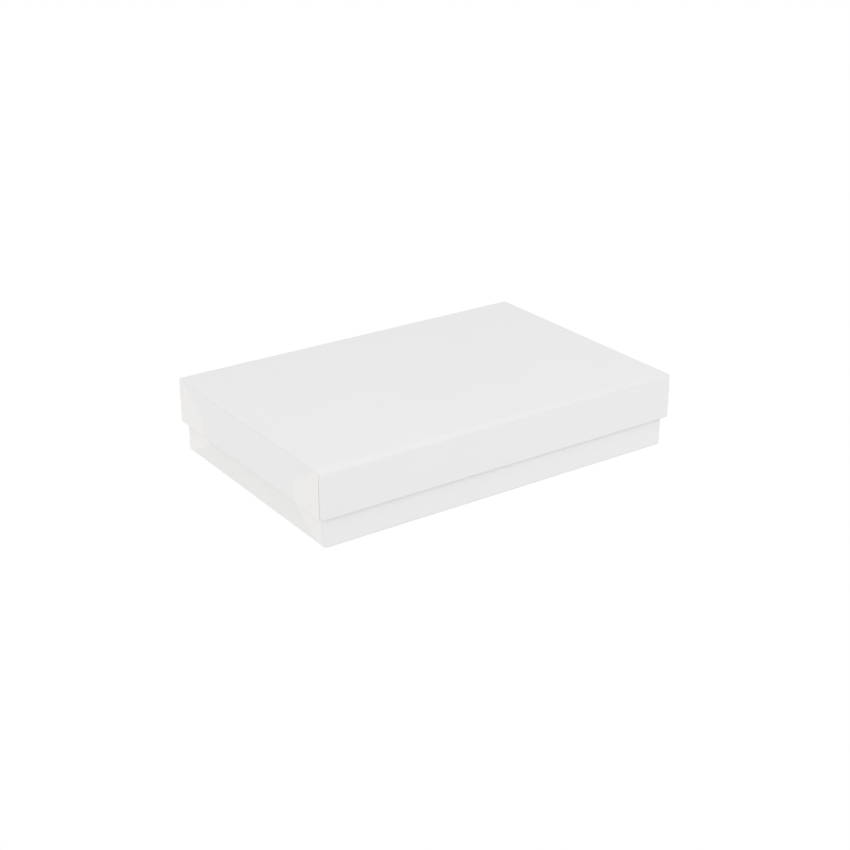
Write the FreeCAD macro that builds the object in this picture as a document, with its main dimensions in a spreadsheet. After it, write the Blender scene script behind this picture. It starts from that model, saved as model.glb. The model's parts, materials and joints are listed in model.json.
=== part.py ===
"""Two-piece rigid paperboard jewelry gift box with a cotton pad, as a parametric FreeCAD document.

The lid and the base are made the same way. A scored chipboard blank is folded up into a tray, its
four corners are held with paper stay tape, and one sheet of white coated paper covers the outside.
The sheet's ears pass round the corners under its end panels, and its edges turn in over the rim.
A lining sheet covers the inside of the main panel, and a loose cotton pad lies in the base.

Frame: millimetres, +Z up, origin at the centre of the base's underside, +X along the box's length.
Each tray is drawn with its mouth up and the outside of its panel on Z = 0. The lid's board, paper
and lining are then turned over under the top of the box.
"""

import FreeCAD, Part
import os

import Sketcher
from FreeCAD import Placement, Rotation, Vector

DRIVING_DIMENSIONS = [
    # alias, millimetres, meaning
    ("lid_length", 152.0, "outside length of the lid"),
    ("lid_width", 101.0, "outside width of the lid"),
    ("box_height", 28.5, "underside of the base to the top of the closed lid"),
    ("lid_depth", 17.0, "outside depth of the lid"),
    ("board", 1.0, "thickness of the chipboard"),
    ("paper", 0.12, "thickness of the covering paper"),
    ("lining", 0.12, "thickness of the lining paper"),
    ("stay", 0.1, "thickness of the stay tape"),
    ("stay_leg", 9.0, "stay tape on each side of a corner"),
    ("stay_inset", 1.5, "from the stay tape's ends to the fold and to the rim"),
    ("glue_line", 0.02, "room for glue over the stay tape"),
    ("butt_gap", 0.15, "between the board's walls at a corner"),
    ("fold", 0.9, "outside radius of the covering paper at folds and corners"),
    ("rim", 0.2, "outside radius of the covering paper over the rim"),
    ("seam_setback", 1.6, "from an end panel's free edge to the corner"),
    ("ear", 18.0, "length of an ear from the corner"),
    ("ear_start", 4.5, "from the corner to the start of an ear's slanted edge"),
    ("ear_rise", 7.8, "height that an ear's slanted edge climbs"),
    ("turn_in", 12.0, "covering paper turned in below the rim"),
    ("lining_margin", 0.5, "from the lining paper's edges to the walls"),
    ("slip_gap", 0.4, "between the lid's inside and the base, on each side"),
    ("seat_gap", 0.2, "between the base's rim and the lid's inside"),
    ("pad_gap", 0.4, "between the pad and the base's walls"),
    ("pad_height", 16.5, "thickness of the pad"),
    ("pad_edge", 3.5, "radius of the pad's upper edges"),
    ("pad_corner", 2.0, "radius of the pad's upright corners"),
]

# Sums of the driving dimensions. From outside to inside, a long wall is covering paper, stay tape,
# board and turned-in paper. An end wall has an ear as well, between the covering paper and the tape.
LONG_COVER = "(dims.paper + dims.stay + dims.glue_line)"
END_COVER = "(2 * dims.paper + dims.stay + dims.glue_line)"
LONG_WALL = f"({LONG_COVER} + dims.board + dims.paper)"
END_WALL = f"({END_COVER} + dims.board + dims.paper)"
PANEL = "(dims.paper + dims.board + dims.lining)"
BOARD_FOLD = "(dims.fold - dims.paper)"

LID = {
    "name": "lid",
    "length": "dims.lid_length",
    "width": "dims.lid_width",
    "depth": "dims.lid_depth",
    "lowest": "(dims.box_height - dims.lid_depth)",
}
BASE = {
    "name": "base",
    "length": f"(dims.lid_length - 2 * {END_WALL} - 2 * dims.slip_gap)",
    "width": f"(dims.lid_width - 2 * {LONG_WALL} - 2 * dims.slip_gap)",
    "depth": f"(dims.box_height - {PANEL} - dims.seat_gap)",
    "lowest": "0",
}
# Each corner's side along X and along Y, and the turn in degrees that faces a stay tape towards it.
CORNERS = {
    "front_left": (-1, -1, 180),
    "front_right": (1, -1, 270),
    "back_right": (1, 1, 0),
    "back_left": (-1, 1, 90),
}
TOUCH = 1e-6

doc = FreeCAD.newDocument("jewelry_gift_box")


def make_sheet():
    """The spreadsheet that holds the driving dimensions, one to a row."""
    sheet = doc.addObject("Spreadsheet::Sheet", "dims")
    for row, (alias, value, meaning) in enumerate(DRIVING_DIMENSIONS, start=1):
        sheet.set(f"A{row}", meaning)
        sheet.set(f"B{row}", str(value))
        sheet.setAlias(f"B{row}", alias)
    doc.recompute()


def new_body(label):
    """An empty body with a label of its own."""
    body = doc.addObject("PartDesign::Body", "Body")
    body.Label = label
    return body


def new_sketch(body, name, role="XY_Plane", height=None):
    """A sketch on one of its body's own origin planes, or at a height above it."""
    plane = next(f for f in body.Origin.OriginFeatures if f.Role == role)
    sketch = body.newObject("Sketcher::SketchObject", name)
    sketch.AttachmentSupport = (plane, [""])
    sketch.MapMode = "FlatFace"
    if height:
        sketch.setExpression("AttachmentOffset.Base.z", height)
    return sketch


def draw_outline(sketch, points):
    """Straight lines through the points, in turn, with their ends joined."""
    count = len(points)
    for i, (x, y) in enumerate(points):
        end = points[(i + 1) % count]
        sketch.addGeometry(Part.LineSegment(Vector(x, y, 0), Vector(*end, 0)), False)
    for i in range(count):
        sketch.addConstraint(Sketcher.Constraint("Coincident", i, 2, (i + 1) % count, 1))


def bind(sketch, kind, start, end, name, expression):
    """A named distance between two points of a sketch, driven by an expression."""
    index = sketch.addConstraint(Sketcher.Constraint(kind, *start, *end, 1.0))
    sketch.renameConstraint(index, name)
    sketch.setExpression(f"Constraints.{name}", expression)


def draw_rectangle(sketch):
    """A rectangle that is level and upright, but has no size or place yet."""
    draw_outline(sketch, [(-5, -5), (5, -5), (5, 5), (-5, 5)])
    for line, kind in enumerate(("Horizontal", "Vertical", "Horizontal", "Vertical")):
        sketch.addConstraint(Sketcher.Constraint(kind, line))


def centred_rectangle(sketch, length, width):
    """A rectangle centred on the sketch's origin."""
    draw_rectangle(sketch)
    sketch.addConstraint(Sketcher.Constraint("Symmetric", 0, 1, 2, 1, -1, 1))
    bind(sketch, "DistanceX", (0, 1), (0, 2), "Length", length)
    bind(sketch, "DistanceY", (1, 1), (1, 2), "Width", width)


def corner_rectangle(sketch, reach_in, reach_out):
    """A square from reach_in before the sketch's origin to reach_out past it, along both axes."""
    draw_rectangle(sketch)
    for kind, letter in (("DistanceX", "X"), ("DistanceY", "Y")):
        bind(sketch, kind, (0, 1), (-1, 1), "In" + letter, reach_in)
        bind(sketch, kind, (0, 1), (2, 1), "Side" + letter, f"{reach_in} + {reach_out}")


def add_pad(body, sketch, name, length, both_ways=False):
    """Adds material above a sketch, or half above and half below it."""
    feature = body.newObject("PartDesign::Pad", name)
    feature.Profile = sketch
    feature.setExpression("Length", length)
    feature.Midplane = both_ways
    body.Tip = feature
    doc.recompute()
    return feature


def add_pocket(body, sketch, name, length):
    """Takes away material below a sketch, and makes sure that some was there."""
    before = body.Shape.Volume
    feature = body.newObject("PartDesign::Pocket", name)
    feature.Profile = sketch
    feature.setExpression("Length", length)
    body.Tip = feature
    doc.recompute()
    if body.Shape.Volume > before - TOUCH:
        raise RuntimeError(f"{body.Label}: {name} took nothing away")
    return feature


def add_fillet(body, name, radius, test):
    """Rounds the edges whose middle point and run, from end to end, pass a test."""
    base = body.Tip
    chosen = []
    for number, edge in enumerate(base.Shape.Edges, start=1):
        middle = edge.valueAt((edge.FirstParameter + edge.LastParameter) / 2)
        run = edge.Vertexes[-1].Point - edge.Vertexes[0].Point
        if test(middle, run):
            chosen.append(f"Edge{number}")
    feature = body.newObject("PartDesign::Fillet", name)
    feature.Base = (base, chosen)
    feature.setExpression("Radius", radius)
    body.Tip = feature
    doc.recompute()
    return feature


def is_upright(run):
    return abs(run.x) + abs(run.y) < TOUCH


def hang_from_top(piece, tray, lift):
    """Stands a base piece at its lift, or turns a lid piece over that far under the top."""
    if tray is LID:
        piece.Placement = Placement(Vector(0, 0, 0), Rotation(Vector(1, 0, 0), 180))
        piece.setExpression("Placement.Base.z", f"dims.box_height - {lift}")
    else:
        piece.setExpression("Placement.Base.z", lift)


def rounded_block(label, length, width, height, radius):
    """A block with its upright edges and the edges round its underside rounded alike."""
    body = new_body(label)
    outline = new_sketch(body, "block_outline")
    centred_rectangle(outline, length, width)
    add_pad(body, outline, "block", height)
    add_fillet(body, "folds", radius, lambda middle, run: is_upright(run) or abs(middle.z) < TOUCH)
    return body


def make_board(tray):
    """The folded-up chipboard blank: a panel, and four walls that butt at the corners."""
    length = f"({tray['length']} - 2 * {END_COVER})"
    width = f"({tray['width']} - 2 * {LONG_COVER})"
    height = f"({tray['depth']} - 2 * dims.paper)"
    wall_height = f"({height} - dims.board)"
    body = rounded_block(tray["name"] + "_board", length, width, height, BOARD_FOLD)

    inside = new_sketch(body, "inside_outline", height=height)
    centred_rectangle(inside, f"{length} - 2 * dims.board", f"{width} - 2 * dims.board")
    add_pocket(body, inside, "inside", wall_height)

    # The end walls stop short of the long walls. A narrow cut along the whole length makes the
    # gaps at two corners, and its mirror image makes them at the other two.
    gap = new_sketch(body, "butt_gap_outline", height=height)
    draw_rectangle(gap)
    bind(gap, "DistanceX", (0, 1), (0, 2), "Length", f"{length} + dims.board")
    bind(gap, "DistanceX", (-1, 1), (0, 2), "Half", f"({length} + dims.board) / 2")
    bind(gap, "DistanceY", (1, 1), (1, 2), "Gap", "dims.butt_gap")
    bind(gap, "DistanceY", (-1, 1), (2, 1), "WallFace", f"{width} / 2 - dims.board")
    cut = add_pocket(body, gap, "butt_gap", wall_height)
    mirrored = body.newObject("PartDesign::Mirrored", "opposite_butt_gap")
    mirrored.Originals = [cut]
    plane = next(f for f in body.Origin.OriginFeatures if f.Role == "XZ_Plane")
    mirrored.MirrorPlane = (plane, [""])
    body.Tip = mirrored
    hang_from_top(body, tray, "dims.paper")
    return body


def make_corner_stay(tray, corner):
    """A strip of paper tape folded round one upright corner of the board, outside it."""
    side_x, side_y, turn = CORNERS[corner]
    body = new_body(f"{tray['name']}_corner_stay_{corner}")
    outside = new_sketch(body, "outside_outline")
    corner_rectangle(outside, "dims.stay_leg", "dims.stay")
    height = f"{tray['depth']} - 2 * dims.stay_inset"
    add_pad(body, outside, "strip", height)
    corner_of_board = new_sketch(body, "board_outline", height=height)
    corner_rectangle(corner_of_board, "(2 * dims.stay_leg)", "0")
    add_pocket(body, corner_of_board, "board_corner", height)
    at_origin = lambda middle: max(abs(middle.x), abs(middle.y)) < TOUCH
    beyond = lambda middle: min(middle.x, middle.y) > TOUCH
    add_fillet(body, "inner_fold", BOARD_FOLD, lambda middle, run: is_upright(run) and at_origin(middle))
    outer = f"{BOARD_FOLD} + dims.stay"
    add_fillet(body, "outer_fold", outer, lambda middle, run: is_upright(run) and beyond(middle))
    body.Placement = Placement(Vector(0, 0, 0), Rotation(Vector(0, 0, 1), turn))
    body.setExpression("Placement.Base.x", f"{side_x} * ({tray['length']} / 2 - {END_COVER})")
    body.setExpression("Placement.Base.y", f"{side_y} * ({tray['width']} / 2 - {LONG_COVER})")
    body.setExpression("Placement.Base.z", f"{tray['lowest']} + dims.stay_inset")
    return body


def centred_box(name, length, width, height, low):
    """A plain box centred on the Z axis, from a lowest height."""
    box = doc.addObject("Part::Box", name)
    for size, expression in (("Length", length), ("Width", width), ("Height", height)):
        box.setExpression(size, expression)
    box.setExpression("Placement.Base.x", f"-{length} / 2")
    box.setExpression("Placement.Base.y", f"-{width} / 2")
    box.setExpression("Placement.Base.z", low)
    return box


def combine(kind, name, pieces):
    """One boolean object: Part::Cut takes the second piece from the first, Part::MultiFuse joins all."""
    result = doc.addObject(kind, name)
    if kind == "Part::Cut":
        result.Base, result.Tool = pieces
    else:
        result.Shapes = pieces
    doc.recompute()
    return result


def make_ear_window(tray):
    """Where no ear lies behind the end panels: a bar along X with the outline between two ears."""
    half = f"({tray['width']} / 2)"
    body = new_body(tray["name"] + "_ear_window")
    sketch = new_sketch(body, "between_ears", role="YZ_Plane")
    draw_outline(sketch, [(-8, 1), (8, 1), (6, 4), (6, 9), (-6, 9), (-6, 4)])
    for level, upright in ((0, 2), (3, 5)):
        sketch.addConstraint(Sketcher.Constraint("Symmetric", level, 1, level, 2, -2))
        sketch.addConstraint(Sketcher.Constraint("Vertical", upright))
    sketch.addConstraint(Sketcher.Constraint("Horizontal", 1, 2, 4, 2))
    bind(sketch, "DistanceX", (-1, 1), (0, 2), "FootHalf", f"{half} - dims.ear_start")
    bind(sketch, "DistanceX", (-1, 1), (2, 1), "TopHalf", f"{half} - dims.ear")
    bind(sketch, "DistanceY", (-1, 1), (0, 2), "Foot", "dims.fold")
    bind(sketch, "DistanceY", (0, 2), (2, 1), "Rise", "dims.ear_rise")
    bind(sketch, "DistanceY", (-1, 1), (2, 2), "Top", f"{tray['depth']} - dims.paper")
    add_pad(body, sketch, "bar", f"{tray['length']} - 2 * dims.paper", both_ways=True)
    return body


def make_cover_paper(tray):
    """The covering sheet: panel, long sides, ears, end panels over the ears, and turned-in edges."""
    name, length, width, depth = (tray[key] for key in ("name", "length", "width", "depth"))
    at_rim = lambda middle: abs(middle.z - float(body.Shape.BoundBox.ZMax)) < TOUCH

    # The long sides and the ears are one rounded block. The end panels stand one paper proud of
    # it, and their free edges are the seams beside the corners.
    body = rounded_block(name + "_sides_and_ears", f"{length} - 2 * dims.paper", width, depth, "dims.fold")
    add_fillet(body, "rim_edge", "dims.rim", lambda middle, run: at_rim(middle))
    sides = body
    body = new_body(name + "_end_panels")
    outline = new_sketch(body, "end_panel_outline")
    centred_rectangle(outline, length, f"{width} - 2 * dims.seam_setback")
    add_pad(body, outline, "end_panels", depth)
    across = lambda run: abs(run.x) + abs(run.z) < TOUCH
    add_fillet(body, "folds", "dims.fold", lambda middle, run: across(run) and abs(middle.z) < TOUCH)
    add_fillet(body, "rim_edge", "dims.rim", lambda middle, run: across(run) and at_rim(middle))
    outside = combine("Part::MultiFuse", name + "_outside", [sides, body])

    board_space = rounded_block(
        name + "_board_space",
        f"{length} - 4 * dims.paper",
        f"{width} - 2 * dims.paper",
        f"{depth} - 2 * dims.paper",
        BOARD_FOLD,
    )
    board_space.setExpression("Placement.Base.z", "dims.paper")
    hollow = combine("Part::MultiFuse", name + "_hollow", [board_space, make_ear_window(tray)])
    skin = combine("Part::Cut", name + "_skin", [outside, hollow])

    turned_in = centred_box(
        name + "_turned_in",
        f"({length} - 2 * ({END_WALL} - dims.paper))",
        f"({width} - 2 * ({LONG_WALL} - dims.paper))",
        "dims.turn_in",
        f"{depth} - dims.turn_in",
    )
    mouth = centred_box(
        name + "_mouth",
        f"({length} - 2 * {END_WALL})",
        f"({width} - 2 * {LONG_WALL})",
        "2 * dims.turn_in",
        f"{depth} - dims.turn_in",
    )
    flanged = combine("Part::MultiFuse", name + "_flanged", [skin, turned_in])
    paper = combine("Part::Cut", name + "_paper", [flanged, mouth])
    paper.Label = name + "_cover_paper"
    hang_from_top(paper, tray, "0")
    return paper


def make_lining(tray):
    """The lining sheet on the inside of the main panel, short of the walls all round."""
    margin = f"2 * ({END_WALL} - dims.paper + dims.lining_margin)"
    length = f"({tray['length']} - {margin})"
    width = f"({tray['width']} - {margin.replace(END_WALL, LONG_WALL)})"
    low = "dims.paper + dims.board"
    if tray is LID:
        low = f"dims.box_height - {PANEL}"
    sheet = centred_box(tray["name"] + "_lining_sheet", length, width, "dims.lining", low)
    sheet.Label = tray["name"] + "_lining"
    return sheet


def make_cotton_pad():
    """The loose pad, on the base's lining."""
    body = new_body("cotton_pad")
    outline = new_sketch(body, "pad_outline")
    centred_rectangle(
        outline,
        f"{BASE['length']} - 2 * {END_WALL} - 2 * dims.pad_gap",
        f"{BASE['width']} - 2 * {LONG_WALL} - 2 * dims.pad_gap",
    )
    add_pad(body, outline, "wadding", "dims.pad_height")
    add_fillet(body, "upright_corners", "dims.pad_corner", lambda middle, run: is_upright(run))
    top = body.Shape.BoundBox.ZMax
    add_fillet(body, "upper_edges", "dims.pad_edge", lambda middle, run: middle.z > top - TOUCH)
    body.setExpression("Placement.Base.z", PANEL)
    return body


def check_document():
    """Stops if any object of the document failed to compute."""
    for item in doc.Objects:
        if {"Invalid", "Error"} & set(item.State):
            raise RuntimeError(f"{item.Label} did not compute: {item.State}")


def write_parts(pieces):
    """Writes one STEP file for each piece, named for its label."""
    os.makedirs("parts", exist_ok=True)
    for piece in pieces:
        shape = piece.Shape
        if shape.isNull() or not shape.isValid() or not shape.Solids:
            raise RuntimeError(f"{piece.Label} has no valid solid")
        shape.exportStep(f"parts/{piece.Label}.step")
        size = shape.BoundBox
        print(
            f"{piece.Label}: {len(shape.Solids)} solid, {shape.Volume:.1f} mm3, "
            f"Z {size.ZMin:.2f} to {size.ZMax:.2f}"
        )


make_sheet()
pieces = []
for tray in (LID, BASE):
    pieces.append(make_board(tray))
    pieces.extend(make_corner_stay(tray, corner) for corner in CORNERS)
    pieces.append(make_cover_paper(tray))
    pieces.append(make_lining(tray))
pieces.append(make_cotton_pad())
doc.recompute()
check_document()
write_parts(pieces)
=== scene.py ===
"""A white two-piece jewelry gift box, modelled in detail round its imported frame.

The box is a rigid, or set-up, box: chipboard trays covered in coated paper, with a cotton pad inside.
Lengths in this script are in millimetres until a mesh is made, and then in metres. A tray is shaped
with its mouth up and the outside of its panel at level 0, and the lid's pieces are then turned over.
"""

import json
import math
from collections import namedtuple

import bmesh
import bpy
import numpy as np
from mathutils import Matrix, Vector, noise


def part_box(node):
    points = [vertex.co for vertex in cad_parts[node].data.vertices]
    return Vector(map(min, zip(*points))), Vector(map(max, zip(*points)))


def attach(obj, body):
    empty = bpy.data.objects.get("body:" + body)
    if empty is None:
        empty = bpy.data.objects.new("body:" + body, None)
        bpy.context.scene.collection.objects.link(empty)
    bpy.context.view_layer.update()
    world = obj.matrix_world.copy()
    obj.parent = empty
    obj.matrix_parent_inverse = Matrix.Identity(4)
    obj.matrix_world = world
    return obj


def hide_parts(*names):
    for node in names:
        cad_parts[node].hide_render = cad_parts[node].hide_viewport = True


MM = 0.001

# The paper and board, as the frame has them.
PAPER = 0.12  # thickness of the covering paper
BOARD = 1.0  # thickness of the chipboard
END_WALL = 1.48  # covering paper to turned-in paper, on the short sides
LONG_WALL = 1.36  # the same on the long sides
TURN_IN = 12.0  # covering paper turned in below the rim
SETBACK = 1.6  # from an end panel's free edge to the corner
EAR = 18.0  # length of an ear from the corner
EAR_START = 4.5  # from the corner to the start of an ear's slanted edge
EAR_RISE = 7.8  # height that the slanted edge climbs
EAR_SLOPE = EAR_RISE / (EAR - EAR_START)

# How the sheet lies on the board.
END_FOLD = 0.9  # radius of the folds from the panel to its end panels
CORNER = 1.4  # radius of the upright corners
RIM = 0.28  # radius of the paper over each side of the board's cut edge
END_EASE = 0.1  # the end panels lie this far inside the full size, and lift to it at their seams
LONG_EASE = 0.05  # the same for the long sides
END_FOLD_SHADE = 0.4  # the end folds get this much painted fold shade, as a share of the long folds' painted shade
EAR_RELIEF = 0.1  # height of the step that an ear's edge shows through the end panel
EAR_STEP = 0.8  # width of that step
EAR_UNDER = 0.13  # an ear's face below the face of the end panel that covers it
EAR_HIDDEN = 3.2  # the ears' folds and rims run this far from the corner, under the end panels
SEAM_REACH = 1.4  # an end panel starts to lift this far from its free edge
SEAM_COVER = 0.43  # from an end panel's free edge to where the ear under it lies at its full depth
MITRE = 0.16  # a turned-in edge narrows this much on each side for each millimetre below the rim
MITRE_GAP = 0.15  # the turned-in edges stay this far apart at the rim's corners

# How the board lies inside the paper.
BOARD_IN_ENDS = 0.39  # from the full size to the board, at each end
BOARD_IN_LONG = 0.24  # the same at each long side
BOARD_FOLD = 0.75  # radius of its scored folds
BOARD_CORNER = 1.0  # radius of its upright corners
BOARD_WALL = 0.97  # thickness of its walls, a little squeezed
BUTT_GROOVE = 0.55  # depth of the groove where two of its walls butt, inside a corner

# How the stay tape lies between them.
STAY = 0.1  # thickness of the tape
STAY_IN_ENDS = 0.26  # from the full size to the tape, at each end
STAY_IN_LONG = 0.14  # the same at each long side
STAY_BEND = 1.3  # radius of its bend round a corner

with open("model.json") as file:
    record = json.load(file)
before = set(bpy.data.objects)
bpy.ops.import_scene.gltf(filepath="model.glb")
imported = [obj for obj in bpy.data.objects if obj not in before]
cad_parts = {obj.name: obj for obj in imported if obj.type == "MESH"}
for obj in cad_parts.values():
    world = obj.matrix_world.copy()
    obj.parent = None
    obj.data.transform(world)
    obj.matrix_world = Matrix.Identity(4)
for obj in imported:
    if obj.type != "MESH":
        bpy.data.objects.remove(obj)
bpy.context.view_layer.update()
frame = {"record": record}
frame_slots = {part["node"]: part["material_slot"] for part in frame["record"]["subparts"]}


# ---------------------------------------------------------------- small helpers


def linear(hex_colour):
    """An sRGB hex colour as a linear colour with an alpha of 1."""
    parts = [int(hex_colour[i : i + 2], 16) / 255 for i in (1, 3, 5)]
    return [c / 12.92 if c <= 0.04045 else ((c + 0.055) / 1.055) ** 2.4 for c in parts] + [1.0]


def smooth_step(value):
    """0 below 0, 1 above 1, and an even curve between."""
    t = np.clip(value, 0.0, 1.0)
    return t * t * (3 - 2 * t)


def ripple(x, y, size, seed):
    """Soft random height from about -1 to 1, with features of one size, over arrays of points."""
    x, y = np.broadcast_arrays(np.asarray(x, float), np.asarray(y, float))
    heights = [
        noise.noise(Vector((a / size, b / size, seed * 7.31))) for a, b in zip(x.flat, y.flat)
    ]
    return np.array(heights).reshape(x.shape)


def spaced(start, end, step):
    """Evenly spaced values from start to end, about a step apart."""
    return np.linspace(start, end, max(2, int(round(abs(end - start) / step)) + 1))


def node_size(node):
    """The size of a node's box along X, Y and Z, in millimetres."""
    low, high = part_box(node)
    return (high - low) / MM


def new_piece(name, points, faces, turn_over=None, smooth_angle=40):
    """An object from points in millimetres. turn_over is the top of the box, for the lid's pieces."""
    points = np.asarray(points, float)
    if turn_over is not None:
        points = points * (1, -1, -1) + (0, 0, turn_over)
    mesh = bpy.data.meshes.new(name)
    mesh.from_pydata((points * MM).tolist(), [], faces)
    mesh.validate()
    piece = bpy.data.objects.new(name, mesh)
    bpy.context.scene.collection.objects.link(piece)
    tidy_mesh(mesh)
    shade(mesh, smooth_angle)
    return piece


def tidy_mesh(mesh):
    """Welds what touches, and drops faces and edges of no size."""
    shape = bmesh.new()
    shape.from_mesh(mesh)
    bmesh.ops.remove_doubles(shape, verts=shape.verts, dist=0.002 * MM)
    bmesh.ops.dissolve_degenerate(shape, edges=shape.edges, dist=0.002 * MM)
    loose = [v for v in shape.verts if not v.link_faces]
    bmesh.ops.delete(shape, geom=loose, context="VERTS")
    shape.to_mesh(mesh)
    shape.free()


def shade(mesh, angle):
    """Smooth shading, with a crease wherever two faces meet at more than an angle in degrees."""
    mesh.shade_smooth()
    mesh.set_sharp_from_angle(angle=math.radians(angle))


def set_up(piece, body, node, material):
    """Puts a piece on its body, in place of its node, in its own finish."""
    piece.data.materials.clear()
    piece.data.materials.append(material)
    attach(piece, body)
    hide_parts(node)


# ---------------------------------------------------------------- a tray's shape


class Tray:
    """The outside size of a tray, and how its panel and walls depart from flat."""

    def __init__(self, name, seed, crushes, long_fold, seam_lift, seam_step, seam_groove):
        self.name = name
        self.long_fold = long_fold
        self.seam_lift = seam_lift
        self.seam_step = seam_step
        self.seam_groove = seam_groove
        self.length, self.width, self.height = node_size(name + "_cover_paper")
        self.seed = seed
        self.crushes = crushes
        self.half_length = self.length / 2 - END_EASE
        self.half_width = self.width / 2 - LONG_EASE

    def panel_dip(self, x, y):
        """How far the panel lies below its full height: it cockles, and its margins are crushed a little.

        The lid is shaped upside down, so its front is on the other side from the base's.
        """
        front = -1 if self.name == "base" else 1
        # Broad waves about 38 mm across, and fine ones about 7 mm across.
        dip = 0.035 * (1 + ripple(x, y, 38, self.seed))
        dip = dip + 0.008 * (1 + ripple(x, y, 7, self.seed + 1))
        # 1 at the left-hand end, and 0 at the right-hand end.
        along = np.clip(0.5 - np.asarray(x) / self.length, 0, 1)
        for side in (-1, 1):
            near, far = self.crushes["front" if side == front else "other"]
            ragged = 1 + 0.22 * ripple(x, side * 50.0, 7, self.seed + 2)
            reach = (far[0] + (near[0] - far[0]) * along**1.3) * ragged
            slope = (far[1] + (near[1] - far[1]) * along) * (0.8 + 0.2 * ragged)
            dip = dip + crushed(self.half_width - side * y, reach, slope)
            ragged = 1 + 0.3 * ripple(side * 50.0, y, 9, self.seed + 3)
            dip = dip + crushed(self.half_length - side * x, 2.0 * ragged, 0.05)
        return dip

    def edge_dip(self, x, y):
        """The panel's dip beside a point, for the rows that carry it round the folds."""
        x_limit, y_limit = self.half_length - END_FOLD, self.half_width - self.long_fold
        return self.panel_dip(np.clip(x, -x_limit, x_limit), np.clip(y, -y_limit, y_limit))

    def stretched(self, x, y, z):
        """How much painted shade a fold gets, from where it bends: up to 1 in the long folds, and less in
        the end folds.
        """
        below = np.clip(z - self.edge_dip(x, y), 0, None)

        def in_fold(inset, fold):
            return np.clip(2 * np.clip(1 - inset / fold, 0, 1) * np.clip(1 - below / fold, 0, 1), 0, 1)

        at_ends = END_FOLD_SHADE * in_fold(self.half_length - np.abs(x), END_FOLD)
        return np.maximum(at_ends, in_fold(self.half_width - np.abs(y), self.long_fold))

    def long_shift(self, x, z, side):
        """How far a long wall's face departs from flat: waves of about 30 mm, with small ones on them."""
        along = z + 90 * side
        return 0.038 * (ripple(x, along, 30, self.seed + 4) + 0.3 * ripple(x, along, 8, self.seed + 5))

    def ear_depth(self, y, z):
        """How far inside its ear's outline a place on an end panel is. It is below 0 outside the ear."""
        from_corner = self.half_width - np.abs(y)
        slanted_edge = END_FOLD + (from_corner - EAR_START) * EAR_SLOPE
        return np.minimum(EAR - from_corner, (z - slanted_edge) / math.hypot(1, EAR_SLOPE))

    def ear_cover(self, y, z):
        """1 where an ear lies under the end panel, and 0 where the panel lies on the board."""
        return smooth_step(self.ear_depth(y, z) / EAR_STEP + 0.5)

    def end_shift(self, y, z, side):
        """How far an end panel's face departs from flat: its ears show through, and its seams lift."""
        edge = self.half_width - SETBACK - np.abs(y)
        uneven = 0.55 + 0.45 * ripple(z, side * 30.0 + np.sign(y) * 9, 5, self.seed + 6)
        lift = smooth_step(1 - edge / SEAM_REACH) * uneven
        wave = 0.02 * ripple(y, z + 70 * side, 22, self.seed + 7)
        return self.seam_lift * lift - EAR_RELIEF * (1 - self.ear_cover(y, z)) + wave


def crushed(inset, reach, slope):
    """The drop of a panel's margin at an inset from its edge: none beyond the reach, then a slope."""
    bend = 0.9  # width over which the panel bends into the slope
    past = np.clip(reach - inset, 0, None)
    return slope * np.where(past < bend, 0.5 * past**2 / bend, past - bend / 2)


# A row runs along a side of the sheet, at an inset from the side's outline and a level above the panel's
# outside. It takes on a share of its wall's unevenness. Its kind is margin, fold, wall, rim or turn_in.
Row = namedtuple("Row", "inset level share kind")


def sinking(level, fold, kind):
    """How much of the panel's dip a row shares: all of it round the fold, fading 4 mm down the wall."""
    if kind in ("margin", "fold"):
        return 1.0
    return max(0.0, 1 - (level - fold) / 4) if kind == "wall" else 0.0


def side_rows(height, wall, fold):
    """Rows of a sheet up one side, over a rim as thick as the wall, and down its turned-in edge."""
    rows = []
    for turn in np.linspace(0, math.pi / 2, 9)[1:]:
        away, up = 1 - math.sin(turn), 1 - math.cos(turn)
        rows.append(Row(fold * away, fold * up, math.sin(turn) ** 2, "fold"))
    for level in np.linspace(fold, height - RIM, int(height / 0.75))[1:]:
        rows.append(Row(0.0, level, 1.0, "wall"))
    for turn in np.linspace(0, math.pi / 2, 5)[1:]:
        away, short = 1 - math.cos(turn), 1 - math.sin(turn)
        rows.append(Row(RIM * away, height - RIM * short, 1.0, "rim"))
    for turn in np.linspace(0, math.pi / 2, 5):
        away, short = 1 - math.sin(turn), 1 - math.cos(turn)
        rows.append(Row(wall - RIM * away, height - RIM * short, 0.4, "rim"))
    for level in spaced(height - RIM, height - TURN_IN, 1.3)[1:]:
        rows.append(Row(wall, level, 0.0, "turn_in"))
    return rows


def graded(half, fine_to, fine, coarse):
    """Values from -half to half, close together near both ends and wider apart in the middle."""
    ends = spaced(half - fine_to, half, fine)
    return np.concatenate([-ends[::-1], spaced(-(half - fine_to), half - fine_to, coarse)[1:-1], ends])


def grid_faces(first, rows, columns, keep=lambda row, column: True):
    """Quads between neighbouring rows and columns of points that were added row by row."""
    return [
        (
            first + r * columns + c,
            first + r * columns + c + 1,
            first + (r + 1) * columns + c + 1,
            first + (r + 1) * columns + c,
        )
        for r in range(rows - 1)
        for c in range(columns - 1)
        if keep(r, c)
    ]


def round_faces(rings, count):
    """Quads between neighbouring closed rings of points, of one count, that were added ring by ring."""
    quads = []
    for ring in range(rings - 1):
        here, there = ring * count, (ring + 1) * count
        for c in range(count):
            after = (c + 1) % count
            quads.append((here + c, here + after, there + after, there + c))
    return quads


# ---------------------------------------------------------------- covering paper


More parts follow.
